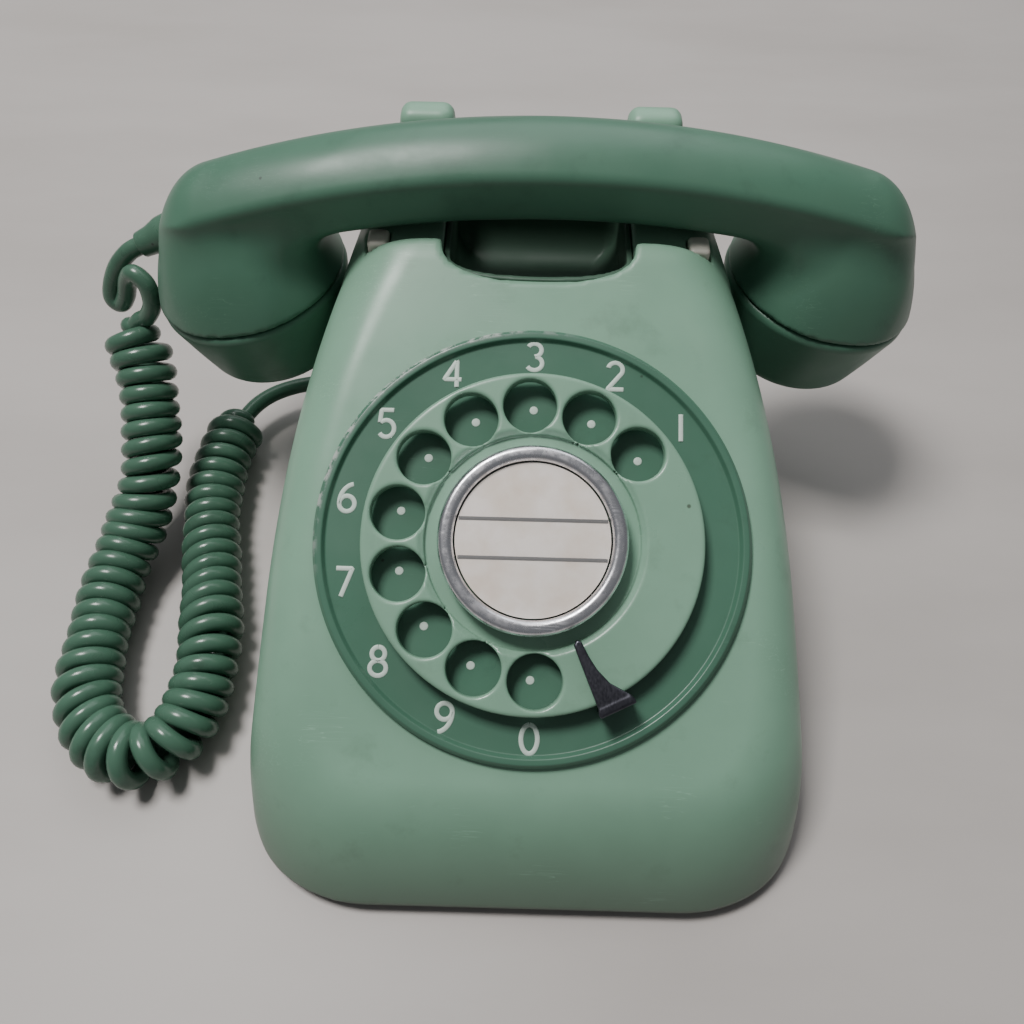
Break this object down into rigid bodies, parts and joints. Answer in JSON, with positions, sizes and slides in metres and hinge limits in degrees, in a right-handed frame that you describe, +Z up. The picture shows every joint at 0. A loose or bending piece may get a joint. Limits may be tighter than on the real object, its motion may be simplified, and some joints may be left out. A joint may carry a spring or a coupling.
{
  "type": "rotary telephone",
  "caption": "Green rotary desk telephone with a sloping dial face, a lift-off arched handset in a cradle, hook plungers, a bell and a curly handset cord.",
  "frame": {"origin": "on the table under the middle of the telephone with its handset down, the cord left out", "axes": "+X to the right along the handset, +Y to the rear, +Z up"},
  "size_m": [0.2681, 0.2224, 0.1289],
  "materials": {
    "light_green_plastic": "glossy moulded plastic, lightly soiled",
    "dark_green_plastic": "glossy moulded plastic",
    "green_cord": "glossy vinyl",
    "black_plastic": "matte moulded plastic",
    "cream_plastic": "moulded plastic",
    "paper_card": "stained paper",
    "clear_window": "clear plastic",
    "chrome_ring": "scratched bright plating",
    "dark_steel": "dark plated sheet",
    "zinc_steel": "zinc plated",
    "brass": "plain brass",
    "brown_phenolic": "laminated phenolic",
    "enamelled_winding": "enamelled copper winding",
    "foot_rubber": "moulded rubber"
  },
  "bodies": {
    "base": {"body_shell": "light_green_plastic", "base_plate": "zinc_steel", "foot_front_left": "foot_rubber", "foot_front_right": "foot_rubber", "foot_rear_left": "foot_rubber", "foot_rear_right": "foot_rubber", "case_screw_left": "zinc_steel", "case_screw_right": "zinc_steel", "grip_well_tray": "light_green_plastic", "hook_pivot_pin": "zinc_steel", "hook_bracket": "zinc_steel", "hook_contacts": "brass", "number_plate": "dark_green_plastic", "finger_stop": "dark_steel", "dial_frame": "zinc_steel", "dial_rear_plate": "zinc_steel", "governor_cup": "zinc_steel", "impulse_contacts": "brass", "gong_left": "brass", "gong_right": "brass", "gong_post_left": "zinc_steel", "gong_post_right": "zinc_steel", "ringer_frame": "zinc_steel", "ringer_coil_left": "enamelled_winding", "ringer_coil_right": "enamelled_winding", "terminal_board": "brown_phenolic", "induction_coil": "enamelled_winding", "capacitor": "zinc_steel", "base_gland": "green_cord", "base_lead": "green_cord", "curly_cord": "green_cord", "line_gland": "black_plastic"},
    "finger_dial": {"finger_wheel": "light_green_plastic", "card_ring": "chrome_ring", "number_card": "paper_card", "card_window": "clear_window", "wheel_screw": "zinc_steel", "dial_shaft": "zinc_steel", "main_gear": "brass", "spring_drum": "zinc_steel"},
    "pinion": {"pinion_shaft": "brass", "impulse_cam": "brown_phenolic", "worm_wheel": "brown_phenolic"},
    "governor": {"governor_shaft": "zinc_steel", "governor_weights": "brass"},
    "hook_arm": {"hook_lever": "zinc_steel"},
    "left_plunger": {"hook_plunger_left": "cream_plastic"},
    "right_plunger": {"hook_plunger_right": "cream_plastic"},
    "bell_clapper": {"clapper": "zinc_steel"},
    "bell_volume": {"volume_wheel": "black_plastic"},
    "handset": {"handset_body": "dark_green_plastic", "mouth_cap": "dark_green_plastic", "ear_cap": "dark_green_plastic", "transmitter_capsule": "zinc_steel", "receiver_capsule": "zinc_steel", "handset_gland": "green_cord", "handset_lead": "green_cord"}
  },
  "joints": [
    {"name": "handset_lift", "type": "slide", "parent": "base", "child": "handset", "axis": [0, 0, 1], "range_m": [0, 0.12]},
    {"name": "left_plunger_rise", "type": "slide", "parent": "base", "child": "left_plunger", "axis": [0, 0, 1], "range_m": [0, 0.005]},
    {"name": "right_plunger_rise", "type": "slide", "parent": "base", "child": "right_plunger", "axis": [0, 0, 1], "range_m": [0, 0.005]},
    {"name": "hook_lever_tilt", "type": "hinge", "parent": "base", "child": "hook_arm", "pos_m": [0, 0.026, 0.0836], "axis": [1, 0, 0], "range_deg": [0, 9]},
    {"name": "dial_turn", "type": "hinge", "parent": "base", "child": "finger_dial", "pos_m": [0, -0.031, 0.067], "axis": [0, 0.4695, -0.8829], "range_deg": [0, 333], "stiffness_Nm_per_rad": 0.012, "springref_deg": -34.38},
    {"name": "pinion_spin", "type": "hinge", "parent": "base", "child": "pinion", "pos_m": [0, -0.00703, 0.07975], "axis": [0, 0.4695, -0.8829], "range_deg": [-1332, 0]},
    {"name": "governor_spin", "type": "hinge", "parent": "base", "child": "governor", "pos_m": [0, 0.01472, 0.06356], "axis": [1, 0, 0], "range_deg": [0, 6660]},
    {"name": "clapper_swing", "type": "hinge", "parent": "base", "child": "bell_clapper", "pos_m": [0, 0.0475, 0.018], "axis": [0, 0, 1], "range_deg": [-2, 2], "stiffness_Nm_per_rad": 0.02},
    {"name": "bell_volume_turn", "type": "hinge", "parent": "base", "child": "bell_volume", "pos_m": [0.05, 0.03, 0.004], "axis": [0, 0, 1], "range_deg": [0, 120]}
  ],
  "couplings": [
    {"joint": "left_plunger_rise", "follows": "handset_lift", "ratio": 0.0416},
    {"joint": "right_plunger_rise", "follows": "handset_lift", "ratio": 0.0416},
    {"joint": "hook_lever_tilt", "follows": "handset_lift", "rad_per_m": 1.29},
    {"joint": "pinion_spin", "follows": "dial_turn", "ratio": -4},
    {"joint": "governor_spin", "follows": "dial_turn", "ratio": 20}
  ]
}
